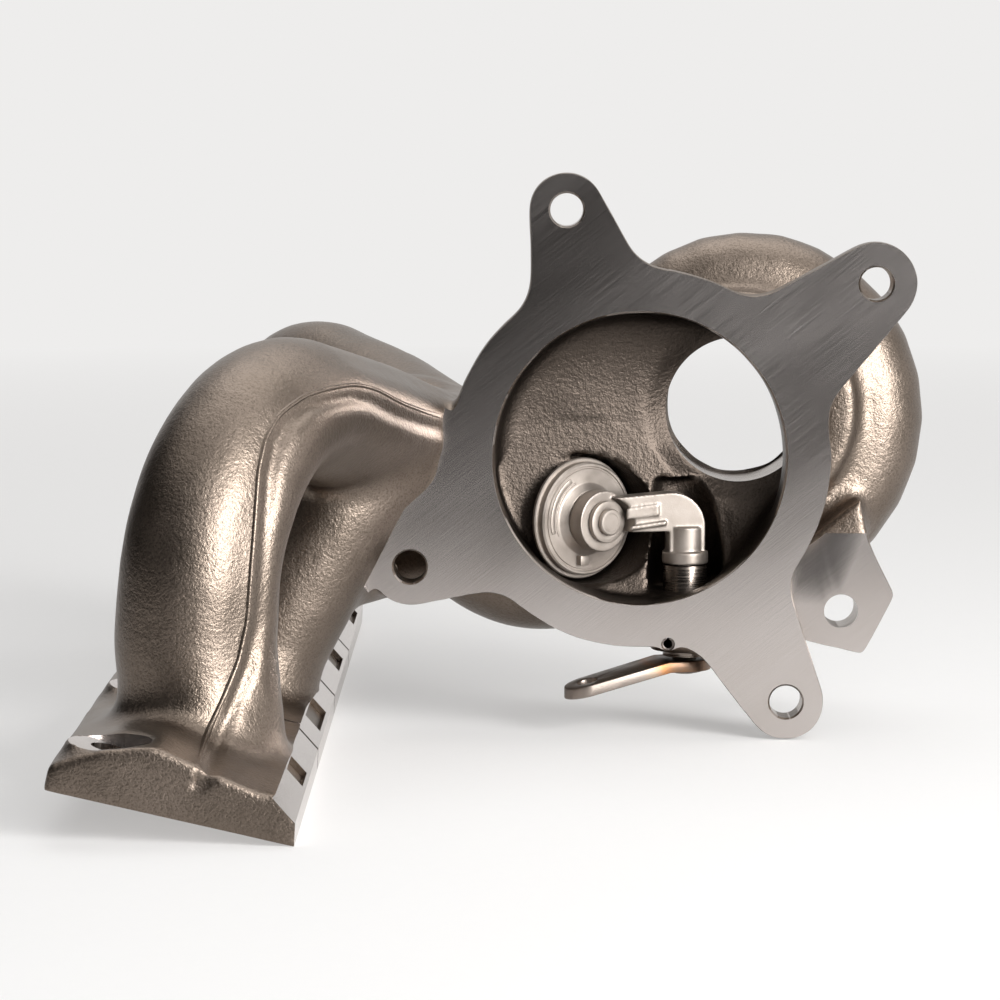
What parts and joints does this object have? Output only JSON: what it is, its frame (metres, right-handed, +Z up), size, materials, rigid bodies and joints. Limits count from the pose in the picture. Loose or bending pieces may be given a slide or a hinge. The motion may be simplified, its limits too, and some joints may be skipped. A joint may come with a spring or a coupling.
{
  "type": "turbine housing",
  "caption": "Cast turbine housing with integral exhaust manifold, star-shaped outlet flange and an internal wastegate flap on a swinging arm.",
  "frame": {"origin": "on the turbine axis at the bearing housing joint face", "axes": "+Y along the turbine axis from the gas outlet to the bearing housing, +X right and +Z up as the part lies on a bench, seen from the outlet"},
  "size_m": [0.241, 0.38, 0.1649],
  "materials": {
    "casting": "sand-cast and shot-blasted heat-resistant steel, ground on the machined faces",
    "flap_steel": "investment-cast heat-resistant steel, blasted",
    "arm_steel": "investment-cast heat-resistant steel, blasted",
    "bush_steel": "turned",
    "pin_steel": "rolled and ground",
    "lever_steel": "pressed, with heat tint near the weld"
  },
  "bodies": {
    "housing": {"turbine_housing": "casting", "spindle_bush": "bush_steel", "bush_pin": "pin_steel", "dowel_pin": "pin_steel"},
    "swing": {"wastegate_arm": "arm_steel", "actuator_lever": "lever_steel", "lever_weld": "lever_steel"},
    "valve": {"wastegate_flap": "flap_steel", "flap_washer": "flap_steel"}
  },
  "joints": [
    {"name": "wastegate_swing", "type": "hinge", "parent": "housing", "child": "swing", "pos_m": [-0.016, -0.052, -0.06], "axis": [0, 0, 1], "range_deg": [0, 35]},
    {"name": "flap_turn", "type": "hinge", "parent": "swing", "child": "valve", "pos_m": [-0.0472, -0.0488, -0.0316], "axis": [0.6157, -0.788, 0], "continuous": true}
  ]
}
